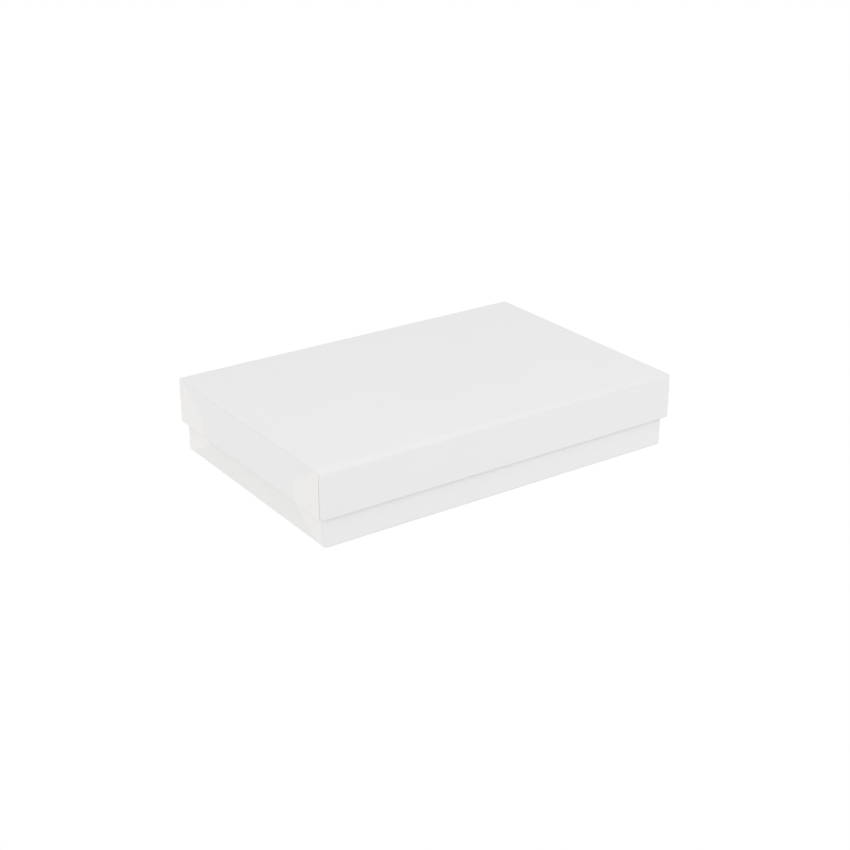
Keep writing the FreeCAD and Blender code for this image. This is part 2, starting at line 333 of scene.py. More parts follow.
def panel_and_ends(tray, panel_x):
    """The sheet's main panel, with an end panel folded up from each end and turned in over the rim."""
    wall = END_WALL - END_EASE
    rows = side_rows(tray.height, wall, END_FOLD)
    free_edge = tray.half_width - SETBACK
    inner_edge = tray.half_width + LONG_EASE - LONG_WALL - MITRE_GAP
    across = graded(free_edge, 19.0, 0.7, 2.0)
    grid = []
    for side in (-1, 1):
        strip = []
        for inset, level, share, kind in rows:
            limit = free_edge
            if kind == "wall":
                limit = free_edge + 0.09 * float(ripple(level, side * 20, 4, tray.seed + 8))
            elif kind == "rim":
                limit = min(free_edge, inner_edge + 0.1)
            elif kind == "turn_in":
                limit = inner_edge - MITRE * (tray.height - level)
            y = across * limit / free_edge
            x = side * (tray.half_length - inset + share * tray.end_shift(y, level, side))
            sink = sinking(level, END_FOLD, kind)
            z = level + sink * tray.edge_dip(side * tray.half_length, y)
            if kind == "turn_in":
                x = x - side * 0.04 * (1 + ripple(y, level, 11, tray.seed + 9))
            strip.append(np.column_stack([x + 0 * y, y, z + 0 * y]))
        grid.append(strip)
    panel = [np.column_stack([x + 0 * across, across, tray.panel_dip(x, across)]) for x in panel_x]
    ordered = grid[0][::-1] + panel + grid[1]
    return np.concatenate(ordered), len(ordered), len(across)


# A station is a line across a long side's rows. Its kind is long, with a value of x, or arc, with an angle
# round the corner, or short, on an ear, with a value of y. Its side is -1 at the low end of X, or else 1.
Station = namedtuple("Station", "side kind value")


def long_side_stations(tray, panel_x):
    """Stations along a long side's sheet: from one ear's end, round both corners, to the other's."""
    half_ear = [("arc", turn) for turn in np.linspace(0, math.pi / 2, 8)[1:-1]]
    # The distances of an ear's stations from the corner: by the seam, under the end panel, and beyond.
    by_seam = [CORNER, (CORNER + SETBACK) / 2, SETBACK, SETBACK + SEAM_COVER, SETBACK + 0.97]
    from_corner = [*by_seam, *spaced(EAR_HIDDEN, EAR, 0.9)]
    half_ear += [("short", tray.half_width - distance) for distance in from_corner]
    stations = [Station(-1, *place) for place in reversed(half_ear)]
    stations += [Station(1, "long", x) for x in panel_x]
    return stations + [Station(1, *place) for place in half_ear]


def long_side_rows(tray):
    """A long side's rows as they are by the panel, and the same rows as they are on its ears.

    The long fold is sharper than the end folds, so the rows pass from one to the other round the corner.
    """
    tables = []
    for fold in (tray.long_fold, END_FOLD):
        # The margin stops where the ears' first points lie, so that the sheet is whole at its corners.
        insets = (SETBACK, (SETBACK + CORNER) / 2, CORNER, fold)
        rows = [Row(inset, 0.0, 0.0, "margin") for inset in insets]
        rows += side_rows(tray.height, LONG_WALL - LONG_EASE, fold)
        # The walls start again from the fold's last row, because an ear's slanted edge leaves the fold.
        first_wall = [row.kind for row in rows].index("wall")
        rows.insert(first_wall, rows[first_wall - 1]._replace(kind="wall"))
        tables.append(rows)
    return tables


def ear_drop(tray, station):
    """How far an ear lies below its end panel's face: a little at the seam, and more under the panel."""
    if station.kind == "long":
        return 0.0
    if station.kind == "arc":
        return tray.seam_step * math.sin(station.value)
    from_corner = tray.half_width - station.value
    covered = float(np.clip((from_corner - SETBACK) / SEAM_COVER, 0, 1))
    sunk = float(np.clip((from_corner - CORNER) / (SETBACK - CORNER), 0, 1)) * (1 - covered)
    return tray.seam_step + (EAR_UNDER - tray.seam_step) * covered + tray.seam_groove * sunk


def outline_point(tray, station, inset, share):
    """The place in plan of a station, at an inset from the outline. Ears drop below the end panels."""
    side, kind, value = station
    keep = max(inset, CORNER)
    drop = ear_drop(tray, station) * share if inset < CORNER else 0.0
    if kind == "long":
        limit = tray.half_length - keep
        return float(np.clip(value, -limit, limit)), tray.half_width - inset
    if kind == "short":
        return side * (tray.half_length - inset - drop), min(value, tray.half_width - keep)
    reach = max(CORNER - inset, 0.0)
    x = tray.half_length - keep + reach * math.sin(value) - drop
    return side * x, tray.half_width - keep + reach * math.cos(value)


def long_side_point(tray, station, row, ear_row):
    """The place of a station on a row, before the panel's dip and the wall's waves."""
    # 0 by the panel, 1 on an ear, and between them round the corner.
    turn = {"long": 0.0, "arc": math.sin(station.value) ** 2, "short": 1.0}[station.kind]
    inset = row.inset + (ear_row.inset - row.inset) * turn
    level = row.level + (ear_row.level - row.level) * turn
    if row.kind == "margin" and row.inset > tray.long_fold:
        limit = tray.half_length - END_FOLD
        x = station.value if station.kind == "long" else station.side * limit
        return float(np.clip(x, -limit, limit)), tray.half_width - row.inset, level
    x, y = outline_point(tray, station, inset, row.share)
    if row.kind == "rim":
        level -= ear_drop(tray, station)
    elif row.kind == "fold" and station.kind == "short":
        level += ear_drop(tray, station) * (1 - row.share)
    elif row.kind == "wall" and station.kind == "short":
        # An ear's wall starts from its slanted edge.
        from_corner, top = tray.half_width - station.value, tray.height - RIM
        low = END_FOLD + max(0.0, from_corner - EAR_START) * EAR_SLOPE
        level = low + (level - END_FOLD) * (top - low) / (top - END_FOLD)
    elif row.kind == "turn_in":
        limit = tray.half_length + END_EASE - END_WALL - MITRE_GAP - MITRE * (tray.height - level)
        x = float(np.clip(x, -limit, limit))
        y -= 0.04 * (1 + float(ripple(x, level, 11, tray.seed + 10)))
    return x, y, level


def long_side(tray, panel_x, side):
    """One long side of the sheet, with its margin of panel, its ears and its turned-in edge."""
    stations = long_side_stations(tray, panel_x)
    rows, ear_rows = long_side_rows(tray)
    points = []
    for row, ear_row in zip(rows, ear_rows):
        sink = sinking(row.level, tray.long_fold, row.kind)
        for station in stations:
            points.append((*long_side_point(tray, station, row, ear_row), row.share, sink))
    x, y, z, share, sink = np.array(points).T
    z = z + sink * tray.edge_dip(x, side * y)
    on_long = np.abs(x) < tray.half_length - CORNER * 0.3
    y = y + share * on_long * tray.long_shift(x, z, side)
    kinds = [row.kind for row in rows]
    last_strip = kinds.index("fold") - 2  # the margin's last strip, beside the fold

    def keep(row, column):
        """Whether there is paper from a row to the next, between a station and the next."""
        pair = stations[column], stations[column + 1]
        kind, next_kind = kinds[row], kinds[row + 1]
        if (kind, next_kind) == ("fold", "wall"):
            return False
        if row == last_strip:
            return all(s.kind != "short" for s in pair)
        if next_kind in ("margin", "turn_in"):
            return all(s.kind == "long" for s in pair)
        if next_kind in ("fold", "rim"):
            under = tray.half_width - EAR_HIDDEN - 0.01
            return all(s.kind != "short" or s.value >= under for s in pair)
        return True

    return np.column_stack([x, side * y, z]), len(rows), len(stations), keep


def make_cover_paper(tray, turn_over):
    """The whole covering sheet, as thick as the paper, with where its end panels and its ears lie."""
    panel_x = graded(tray.half_length - END_FOLD, 5.1, 0.6, 1.8)
    points, rows, columns = panel_and_ends(tray, panel_x)
    faces = grid_faces(0, rows, columns)
    for side in (-1, 1):
        more, rows, columns, keep = long_side(tray, panel_x, side)
        new_faces = grid_faces(len(points), rows, columns, keep)
        faces += [f[::-1] for f in new_faces] if side > 0 else new_faces
        points = np.concatenate([points, more])
    limits = np.array([tray.length / 2, tray.width / 2])
    points[:, :2] = np.clip(points[:, :2], -limits, limits)
    points[:, 2] = np.clip(points[:, 2], 0, tray.height)
    piece = new_piece(tray.name + "_paper", points, faces, turn_over)
    places = np.array([v.co for v in piece.data.vertices]) / MM
    level = places[:, 2] if turn_over is None else turn_over - places[:, 2]
    on_end = smooth_step((np.abs(places[:, 0]) - tray.half_length + 0.35) / 0.1)
    on_end *= np.abs(places[:, 1]) < tray.half_width - SETBACK + 0.1
    mark(piece, "end panel", on_end)
    mark(piece, "ear depth", tray.ear_depth(places[:, 1], level))
    across = places[:, 1] if turn_over is None else -places[:, 1]
    # How much painted shade each point round the folds gets, for the finish to darken it.
    mark(piece, "stretched", tray.stretched(places[:, 0], across, level))
    thicken(piece, PAPER, 50)
    return piece


def mark(piece, name, values):
    """Keeps a number for each point of a piece, for its finish to read."""
    piece.data.attributes.new(name, "FLOAT", "POINT").data.foreach_set("value", values)


def thicken(piece, thickness, smooth_angle):
    """Gives a sheet its thickness, behind its outer face."""
    solid = piece.modifiers.new("thickness", "SOLIDIFY")
    solid.thickness = thickness * MM
    solid.offset = -1
    solid.use_quality_normals = True
    bake_modifiers(piece, smooth_angle)


def bake_modifiers(piece, smooth_angle):
    """Makes a piece's modifiers part of its mesh."""
    graph = bpy.context.evaluated_depsgraph_get()
    mesh = bpy.data.meshes.new_from_object(piece.evaluated_get(graph))
    piece.modifiers.clear()
    piece.data = mesh
    shade(mesh, smooth_angle)


# ---------------------------------------------------------------- chipboard


def board_stations(tray, gap_from):
    """Stations once round a board: (side along X, side along Y, kind, value), anticlockwise."""
    along_x = graded(tray.half_length - 1.0, 6.0, 1.0, 2.0)
    gap = [gap_from + 0.01, gap_from + 0.14, gap_from + 0.16]
    along_y = graded(tray.half_width - 2.0, 6.0, 1.0, 2.0)
    stations = []
    for sx, sy in ((1, 1), (-1, 1), (-1, -1), (1, -1)):
        arc = [(sx, sy, "arc", t) for t in np.linspace(0, math.pi / 2, 5)]
        near = [(sx, sy, "gap" if i < 2 else "short", tray.half_width - d) for i, d in enumerate(gap)]
        corner = arc[::-1] if sx * sy < 0 else arc
        if sx * sy > 0:
            stations += [*near[::-1], *corner[::-1]]
            stations += [(1, sy, "long", sy * -1 * x) for x in along_x]
        else:
            stations += [*corner[::-1], *near]
            stations += [(sx, 1, "side", sx * y) for y in along_y]
    return stations


def board_point(half_length, half_width, station, inset, corner, groove):
    """The place in plan of a station on a board, at an inset from the board's outside."""
    sx, sy, kind, value = station
    keep = max(inset, corner)
    if kind == "long":
        return min(max(value, keep - half_length), half_length - keep), sy * (half_width - inset)
    if kind == "side":
        return sx * (half_length - inset), min(max(value, keep - half_width), half_width - keep)
    if kind in ("short", "gap"):
        out = groove if kind == "gap" else 0.0
        return sx * (half_length - inset + out), sy * min(value, half_width - keep)
    reach = max(corner - inset, 0.0)
    x = half_length - keep + reach * math.sin(value)
    return sx * x, sy * (half_width - keep + reach * math.cos(value))


def make_board(tray, turn_over):
    """The chipboard tray: one blank, scored and folded up, with its walls butting at the corners."""
    half_length = tray.length / 2 - BOARD_IN_ENDS
    half_width = tray.width / 2 - BOARD_IN_LONG
    bottom, floor_level, rim = PAPER + 0.01, PAPER + BOARD, tray.height - PAPER - 0.02
    # Rows of the outside, from the middle of the panel to the rim: (inset, level, share of the dip).
    outside = [(inset, bottom, 1.0) for inset in (40, 22, 12, 7, 5, 3.5, 2.5, 1.7, 1.1, BOARD_FOLD)]
    for turn in np.linspace(0, math.pi / 2, 6)[1:]:
        level = bottom + BOARD_FOLD * (1 - math.cos(turn))
        outside.append((BOARD_FOLD * (1 - math.sin(turn)), level, 1.0))
    outside += [(0.0, level, sinking(level, BOARD_FOLD, "wall")) for level in spaced(1.6, rim, 1.6)]
    # Rows of the inside, from the rim to the middle. They stay flat.
    walls = [(BOARD_WALL, level, 0.0) for level in spaced(rim, floor_level, 3.0)]
    inside = [*walls, *((inset, floor_level, 0.0) for inset in (3, 12, 40))]
    stations = board_stations(tray, tray.half_width - half_width + BOARD_WALL)
    points = []
    for number, (inset, level, share) in enumerate(outside + inside):
        groove = BUTT_GROOVE if len(outside) < number < len(outside) + len(walls) else 0.0
        for station in stations:
            x, y = board_point(half_length, half_width, station, inset, BOARD_CORNER, groove)
            points.append((x, y, level + share * float(tray.edge_dip(x, y))))
    count, rows = len(stations), len(outside) + len(inside)
    faces = round_faces(rows, count)
    faces += [tuple(range(count))[::-1], tuple(range((rows - 1) * count, rows * count))]
    return new_piece(tray.name + "_chipboard", points, faces, turn_over, smooth_angle=35)


# ---------------------------------------------------------------- lining


def make_lining(tray):
    """The sheet of paper pasted over the inside of a panel: cut by guillotine, and faintly cockled."""
    low, high = (np.array(corner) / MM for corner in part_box(tray.name + "_lining"))
    across, along = spaced(low[0], high[0], 1.6), spaced(low[1], high[1], 1.6)
    x, y = (axis.ravel() for axis in np.meshgrid(across, along))
    # It only cockles into its own thickness, so it stays on the board and clear of the pad and the rim.
    cockle = 0.025 * (1 + ripple(x, y, 13, tray.seed + 12))
    cockle = cockle + 0.012 * (1 + ripple(x, y, 4, tray.seed + 13))
    top, under = np.full(x.shape, high[2]), np.full(x.shape, low[2])
    if tray.name == "base":
        top = top - cockle
    else:
        under = under + cockle
    count, wide = len(x), len(across)
    sheet = grid_faces(0, len(along), wide)
    faces = sheet + [tuple(count + n for n in face[::-1]) for face in sheet]
    last = wide * (len(along) - 1)
    edge = [*range(wide), *range(2 * wide - 1, count, wide), *range(count - 2, last - 1, -1)]
    edge += range(last - wide, 0, -wide)
    for start, end in zip(edge, edge[1:] + edge[:1]):
        faces.append((end, start, count + start, count + end))
    points = np.concatenate([np.column_stack([x, y, top]), np.column_stack([x, y, under])])
    return new_piece(tray.name + "_lining_paper", points, faces, smooth_angle=35)


# ---------------------------------------------------------------- corner stays


def make_stay(tray, node):
    """A strip of tape bent round the outside of a board's corner, under the covering paper."""
    low, high = (np.array(corner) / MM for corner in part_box(node))
    side_x, side_y = np.sign((low + high)[:2])
    end_x, end_y = tray.length / 2 - STAY_IN_ENDS, tray.width / 2 - STAY_IN_LONG
    bend_x, bend_y = end_x - STAY_BEND, end_y - STAY_BEND
    leg_x, leg_y = (high - low)[:2] - STAY_BEND
    # Its outside in plan, with the direction that each place faces: one leg, the bend and the other leg.
    outer = [(end_x, bend_y - leg_y * t, 0.0) for t in np.linspace(1, 0, 5)]
    outer += [
        (bend_x + STAY_BEND * math.cos(t), bend_y + STAY_BEND * math.sin(t), t)
        for t in np.linspace(0, math.pi / 2, 8)[1:]
    ]
    outer += [(bend_x - leg_x * t, end_y, math.pi / 2) for t in np.linspace(0, 1, 5)[1:]]
    inner = [(x - STAY * math.cos(t), y - STAY * math.sin(t), t) for x, y, t in outer]
    ring = outer + inner[::-1]
    levels = spaced(low[2], high[2], 1.5)
    points = [(side_x * x, side_y * y, z) for z in levels for x, y, _ in ring]
    count, strip, top = len(ring), len(outer), (len(levels) - 1) * len(ring)
    faces = round_faces(len(levels), count)
    for i in range(strip - 1):
        cap = (i, i + 1, count - 2 - i, count - 1 - i)
        faces += [cap[::-1], tuple(top + n for n in cap)]
    if side_x * side_y < 0:
        faces = [face[::-1] for face in faces]
    return new_piece(node.replace("corner_stay", "tape_stay"), points, faces, smooth_angle=35)


# ---------------------------------------------------------------- cotton pad


def slab_surface(cells):
    """Points and faces of a closed box of unit half-sizes, with a grid on each of its six sides."""
    numbers, points, faces = {}, [], []

    def corner(place):
        if place not in numbers:
            numbers[place] = len(points)
            points.append([2 * place[i] / cells[i] - 1 for i in range(3)])
        return numbers[place]

    for axis in range(3):
        u, v = (axis + 1) % 3, (axis + 2) % 3
        for level in (0, cells[axis]):
            for i in range(cells[u]):
                for j in range(cells[v]):
                    ring = []
                    for du, dv in ((0, 0), (1, 0), (1, 1), (0, 1)):
                        place = [0, 0, 0]
                        place[axis], place[u], place[v] = level, i + du, j + dv
                        ring.append(corner(tuple(place)))
                    faces.append(ring if level else ring[::-1])
    return np.array(points), faces


def pad_surface(unit, half, centre):
    """Where a slab's points lie on the soft pad: rounded, crowned, layered and lumpy."""
    edge = 3.2  # radius of the rounding at the pad's edges
    # Spread the grid so that its lines crowd together near the pad's edges.
    spread = np.sin(unit * math.pi / 2) * 0.35 + unit * 0.65
    flat = spread * half
    inner = half - edge
    core = np.clip(flat, -inner, inner)
    away = flat - core
    # The farther from the core along any axis, the rounder: the outside lies at the edge's radius.
    outward = np.abs(unit) > 0.999
    away = np.where(outward, np.sign(unit) * edge, away)
    reach = np.linalg.norm(away, axis=1, keepdims=True)
    direction = away / np.maximum(reach, 1e-6)
    place = core + direction * edge
    x, y, z = place.T
    on_top = direction[:, 2]
    on_side = 1 - np.abs(on_top)
    # Crown: the middle stands full, and the margins settle.
    from_rim = np.minimum((half[0] - np.abs(x)) / 22, (half[1] - np.abs(y)) / 22)
    settle = 0.5 * (1 - smooth_step(from_rim)) * np.clip(on_top, 0, 1)
    lumps = 0.36 * ripple(x, y, 19, 21) + 0.2 * ripple(x, y, 7.5, 22) + 0.1 * ripple(x, y, 3.2, 23)
    top_shift = (lumps - 0.5) * np.clip(on_top, 0, 1) - settle
    # Laps: the pad is laid up from webs about 1.5 mm thick, and its cut sides show them.
    along = x * np.abs(direction[:, 1]) + y * np.abs(direction[:, 0])
    laps = np.sin((z + 0.5 * ripple(along, z, 14, 24)) * 2 * math.pi / 1.5)
    side_lumps = 0.3 * ripple(along, z * 1.4, 9, 25) + 0.14 * ripple(along, z * 2, 3, 26)
    side_shift = (0.1 * laps + 0.6 * side_lumps - 0.3) * on_side
    # The middle webs bulge out, and the top and bottom ones pull in.
    side_shift -= 0.35 * (z / half[2]) ** 2 * on_side
    shift = direction * (side_shift + top_shift)[:, None]
    shift[:, 2] = np.where(on_top < 0, np.maximum(shift[:, 2], 0), shift[:, 2])
    return centre + np.clip(place + shift, -half, half), direction


def make_cotton_pad():
    """The pad of cotton batting, with loose fibres lying on it."""
    low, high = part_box("cotton_pad")
    half, centre = np.array(high - low) / MM / 2, np.array(high + low) / MM / 2
    unit, faces = slab_surface((132, 88, 20))
    points, direction = pad_surface(unit, half, centre)
    dice = np.random.default_rng(5)
    upper = np.flatnonzero(direction[:, 2] > -0.3)
    strands = [fibre(dice, points[n], direction[n], centre, half) for n in dice.choice(upper, 1500)]
    points, faces = list(points), list(faces)
    for ring_points, ring_faces in strands:
        first = len(points)
        points.extend(ring_points)
        faces.extend([tuple(first + i for i in face) for face in ring_faces])
    return new_piece("cotton_batting_pad", points, faces, smooth_angle=75)


def fibre(dice, root, outward, centre, half):
    """One loose fibre: a slender three-sided tube that arches over the pad's surface from its root."""
    length, thickness = dice.uniform(2.5, 8.0), 0.035
    side = np.cross(outward, dice.normal(size=3))
    side /= max(np.linalg.norm(side), 1e-6)
    bend = np.cross(outward, side)
    curl, lift = dice.uniform(-0.6, 0.6), dice.uniform(0.1, 0.55)
    rings, path = [], []
    # Its two ends lie a little under the surface.
    for t in np.linspace(0, 1, 7):
        arch = lift * math.sin(math.pi * t) - 0.12
        place = root + side * (t - 0.5) * length + bend * curl * length * (t - 0.5) ** 2 + outward * arch
        path.append(np.clip(place, centre - half + 0.05, centre + half - 0.05))
    for t, place in enumerate(path):
        size = thickness * (0.4 if t in (0, len(path) - 1) else 1.0)
        for turn in range(3):
            angle = turn * 2 * math.pi / 3
            rings.append(place + size * (outward * math.cos(angle) + bend * math.sin(angle)))
    faces = round_faces(len(path), 3)
    last = 3 * (len(path) - 1)
    return rings, [*faces, (2, 1, 0), (last, last + 1, last + 2)]


# ---------------------------------------------------------------- finishes


def add(tree, kind, inputs=None, **settings):
    """Adds a node. Each input, by name or number, is a value or the output that feeds it."""
    node = tree.nodes.new(kind)
    for name, value in settings.items():
        setattr(node, name, value)
    for name, value in (inputs or {}).items():
        if isinstance(value, bpy.types.NodeSocket):
            tree.links.new(value, node.inputs[name])
        else:
            node.inputs[name].default_value = value
    return node


def new_finish(name):
    """An empty material, its node tree, and its object's own coordinates in millimetres."""
    material = bpy.data.materials.new(name)
    material.use_nodes = True
    tree = material.node_tree
    tree.nodes.clear()
    place = add(tree, "ShaderNodeTexCoord")
    in_metres = {0: place.outputs["Object"], 1: (1 / MM, 1 / MM, 1 / MM)}
    in_millimetres = add(tree, "ShaderNodeVectorMath", in_metres, operation="MULTIPLY")
    return material, tree, in_millimetres.outputs[0]


def finish_surface(tree, inputs, height=None, relief=1.0):
    """The surface shader and the output. A height of 1 stands for the relief, in millimetres."""
    if height is not None:
        bump = add(tree, "ShaderNodeBump", {"Height": height, "Distance": relief * MM, "Strength": 1.0})
        inputs["Normal"] = bump.outputs[0]
    shader = add(tree, "ShaderNodeBsdfPrincipled", inputs)
    add(tree, "ShaderNodeOutputMaterial", {"Surface": shader.outputs[0]})


def coated_paper(name, single, doubled, end_panel):
    """Art paper: clay-coated, calendered, and glued over grey board.

    The clay gives the eye an even white with a soft gloss. One sheet lets a little of the grey board
    through, and two sheets don't, so the ears show through the end panels as a warmer, brighter white.
    """
    material, tree, place = new_finish(name)
    ends = add(tree, "ShaderNodeAttribute", attribute_name="end panel")
    ears = add(tree, "ShaderNodeAttribute", attribute_name="ear depth")
    walls = {0: ends.outputs["Fac"], 6: linear(single), 7: linear(end_panel)}
    wall = add(tree, "ShaderNodeMix", walls, data_type="RGBA")
    inside = add(tree, "ShaderNodeMapRange", {0: ears.outputs["Fac"], 1: -0.2, 2: 0.2})
    on_ends = {0: inside.outputs[0], 1: ends.outputs["Fac"]}
    covered = add(tree, "ShaderNodeMath", on_ends, operation="MULTIPLY")
    papers = {0: covered.outputs[0], 6: wall.outputs[2], 7: linear(doubled)}
    sheet = add(tree, "ShaderNodeMix", papers, data_type="RGBA")
    # The board's own cloudiness, about 24 mm across, comes through as a very faint mottle.
    cloud = add(tree, "ShaderNodeTexNoise", {"Vector": place, "Scale": 1 / 24, "Detail": 2.0})
    mottle = add(tree, "ShaderNodeMapRange", {0: cloud.outputs[0], 1: 0.3, 2: 0.7, 3: 0.994, 4: 1.004})
    # Along the folds the paper is painted up to 6% darker: painted shade on the folds.
    stretched = add(tree, "ShaderNodeAttribute", attribute_name="stretched")
    fold_darkening = add(tree, "ShaderNodeMapRange", {0: stretched.outputs["Fac"], 1: 0.0, 2: 1.0, 3: 1.0, 4: 0.94})
    both = add(tree, "ShaderNodeMath", {0: mottle.outputs[0], 1: fold_darkening.outputs[0]}, operation="MULTIPLY")
    toned = {0: sheet.outputs[2], "Scale": both.outputs[0]}
    mottled = add(tree, "ShaderNodeVectorMath", toned, operation="SCALE")
    # Specks of dust up to 0.4 mm across, round points scattered about 7 mm apart through the space, so
    # that only a dozen or two of them meet the lid's sheet.
    dust = add(tree, "ShaderNodeTexVoronoi", {"Vector": place, "Scale": 1 / 7})
    by_distance = {0: dust.outputs["Distance"], 1: 0.2 / 7, 2: 0.1 / 7, 3: 0.0, 4: 0.6}
    speck = add(tree, "ShaderNodeMapRange", by_distance)
    dusted = {0: speck.outputs[0], 6: mottled.outputs[0], 7: linear("#A9A49B")}
    tone = add(tree, "ShaderNodeMix", dusted, data_type="RGBA")
    # The rollers leave the gloss a little uneven, at about 6 mm.
    rolled = add(tree, "ShaderNodeTexNoise", {"Vector": place, "Scale": 1 / 6, "Detail": 3.0})
    gloss = add(tree, "ShaderNodeMapRange", {0: rolled.outputs[0], 1: 0.3, 2: 0.7, 3: 0.46, 4: 0.54})
    # The sheet's formation: flocks of fibre about 0.9 mm across under the coating.
    flocks = add(tree, "ShaderNodeTexNoise", {"Vector": place, "Scale": 1 / 0.9, "Detail": 2.0})
    surface = {"Base Color": tone.outputs[2], "Roughness": gloss.outputs[0]}
    finish_surface(tree, surface, flocks.outputs[0], 0.0015)
    return material


def chipboard(name, body, dark, pale):
    """Grey chipboard: recycled pulp, pressed and left bare. It looks matt and flecked, warm grey."""
    material, tree, place = new_finish(name)
    grain = {"Vector": place, "Scale": 1 / 1.6, "Detail": 5.0, "Roughness": 0.65}
    pulp = add(tree, "ShaderNodeTexNoise", grain)
    shade_of = add(tree, "ShaderNodeMapRange", {0: pulp.outputs[0], 1: 0.35, 2: 0.65})
    greys = {0: shade_of.outputs[0], 6: linear(dark), 7: linear(body)}
    mixed = add(tree, "ShaderNodeMix", greys, data_type="RGBA")
    # Flecks of printed paper and bark, about 0.5 mm across, in cells of 1.8 mm.
    cells = add(tree, "ShaderNodeTexVoronoi", {"Vector": place, "Scale": 1 / 1.8})
    fleck = add(tree, "ShaderNodeMapRange", {0: cells.outputs["Distance"], 1: 0.3 / 1.8, 2: 0.2 / 1.8})
    flecks = {0: fleck.outputs[0], 6: mixed.outputs[2], 7: linear(pale)}
    flecked = add(tree, "ShaderNodeMix", flecks, data_type="RGBA")
    surface = {"Base Color": flecked.outputs[2], "Roughness": 0.92, "Specular IOR Level": 0.3}
    finish_surface(tree, surface, pulp.outputs[0], 0.06)
    return material


def wove_paper(name, sheet, shadow):
    """White lining paper: uncoated wove stock. It looks matt and softly fibrous."""
    material, tree, place = new_finish(name)
    # The felt's mark, about 0.7 mm across, and the sheet's cloudiness, about 9 mm.
    mark_of_felt = {"Vector": place, "Scale": 1 / 0.7, "Detail": 4.0, "Roughness": 0.6}
    felt = add(tree, "ShaderNodeTexNoise", mark_of_felt)
    cloud = add(tree, "ShaderNodeTexNoise", {"Vector": place, "Scale": 1 / 9, "Detail": 2.0})
    both = add(tree, "ShaderNodeMath", {0: felt.outputs[0], 1: cloud.outputs[0]}, operation="MULTIPLY")
    depth = add(tree, "ShaderNodeMapRange", {0: both.outputs[0], 1: 0.12, 2: 0.36})
    whites = {0: depth.outputs[0], 6: linear(shadow), 7: linear(sheet)}
    tone = add(tree, "ShaderNodeMix", whites, data_type="RGBA")
    surface = {"Base Color": tone.outputs[2], "Roughness": 0.85, "Specular IOR Level": 0.35}
    finish_surface(tree, surface, felt.outputs[0], 0.02)
    return material


def kraft_tape(name, body, streak):
    """Gummed kraft tape: unbleached, machine-glazed sulphate paper, with fibres along its length."""
    material, tree, place = new_finish(name)
    # Fibres about 0.35 mm apart, and eight times as long.
    along = add(tree, "ShaderNodeVectorMath", {0: place, 1: (1.0, 1.0, 0.12)}, operation="MULTIPLY")
    strands = {"Vector": along.outputs[0], "Scale": 1 / 0.35, "Detail": 4.0}
    fibres = add(tree, "ShaderNodeTexNoise", strands)
    dark = add(tree, "ShaderNodeMapRange", {0: fibres.outputs[0], 1: 0.35, 2: 0.7})
    browns = {0: dark.outputs[0], 6: linear(body), 7: linear(streak)}
    tone = add(tree, "ShaderNodeMix", browns, data_type="RGBA")
    surface = {"Base Color": tone.outputs[2], "Roughness": 0.6}
    finish_surface(tree, surface, fibres.outputs[0], 0.015)
    return material


def cotton_batting(name, crest, painted_hollow_shade):
    """Cotton batting: bleached, carded fibre, laid and pressed into a pad. Soft white, with no gloss.

    Real fibres are 0.015 mm thick, so these are drawn at 0.25 mm to show. Sheen gives the fuzz.
    """
    material, tree, place = new_finish(name)
    # Tangles about 2.2 mm across, with strands on them.
    tufts = {"Vector": place, "Scale": 1 / 2.2, "Detail": 6.0, "Roughness": 0.7, "Distortion": 1.5}
    tangle = add(tree, "ShaderNodeTexNoise", tufts)
    carded = add(tree, "ShaderNodeVectorMath", {0: place, 1: (0.22, 1.0, 1.0)}, operation="MULTIPLY")
    lengthwise = {"Vector": carded.outputs[0], "Scale": 1 / 0.25, "Detail": 2.0, "Distortion": 2.0}
    strands = add(tree, "ShaderNodeTexNoise", lengthwise)
    together = {0: strands.outputs[0], 1: 0.35, 2: tangle.outputs[0]}
    fuzz = add(tree, "ShaderNodeMath", together, operation="MULTIPLY_ADD")
    # The low places of the fuzz, where the bump sinks, are painted a greyer white: painted shade in its
    # hollows.
    depth = add(tree, "ShaderNodeMapRange", {0: fuzz.outputs[0], 1: 0.45, 2: 0.85})
    whites = {0: depth.outputs[0], 6: linear(painted_hollow_shade), 7: linear(crest)}
    tone = add(tree, "ShaderNodeMix", whites, data_type="RGBA")
    surface = {
        "Base Color": tone.outputs[2],
        "Roughness": 1.0,
        "Specular IOR Level": 0.15,
        "Sheen Weight": 0.35,
        "Sheen Roughness": 0.6,
        "Subsurface Weight": 0.25,
        "Subsurface Radius": (1.0, 0.95, 0.9),
        "Subsurface Scale": 1.2 * MM,
    }
    finish_surface(tree, surface, fuzz.outputs[0], 0.35)
    return material


# ---------------------------------------------------------------- build

lid_finish = coated_paper("coated art paper lid", "#DEDEDE", "#E3E1DF", "#DEDEDE")
base_finish = coated_paper("coated art paper base", "#DFDFDF", "#E4E2E0", "#DEDEDC")
board_finish = chipboard("grey chipboard", "#958E84", "#79736A", "#B9B2A6")
cotton_finish = cotton_batting("cotton batting", "#FAFAF8", "#ECEBE9")

box_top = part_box("lid_cover_paper")[1].z / MM
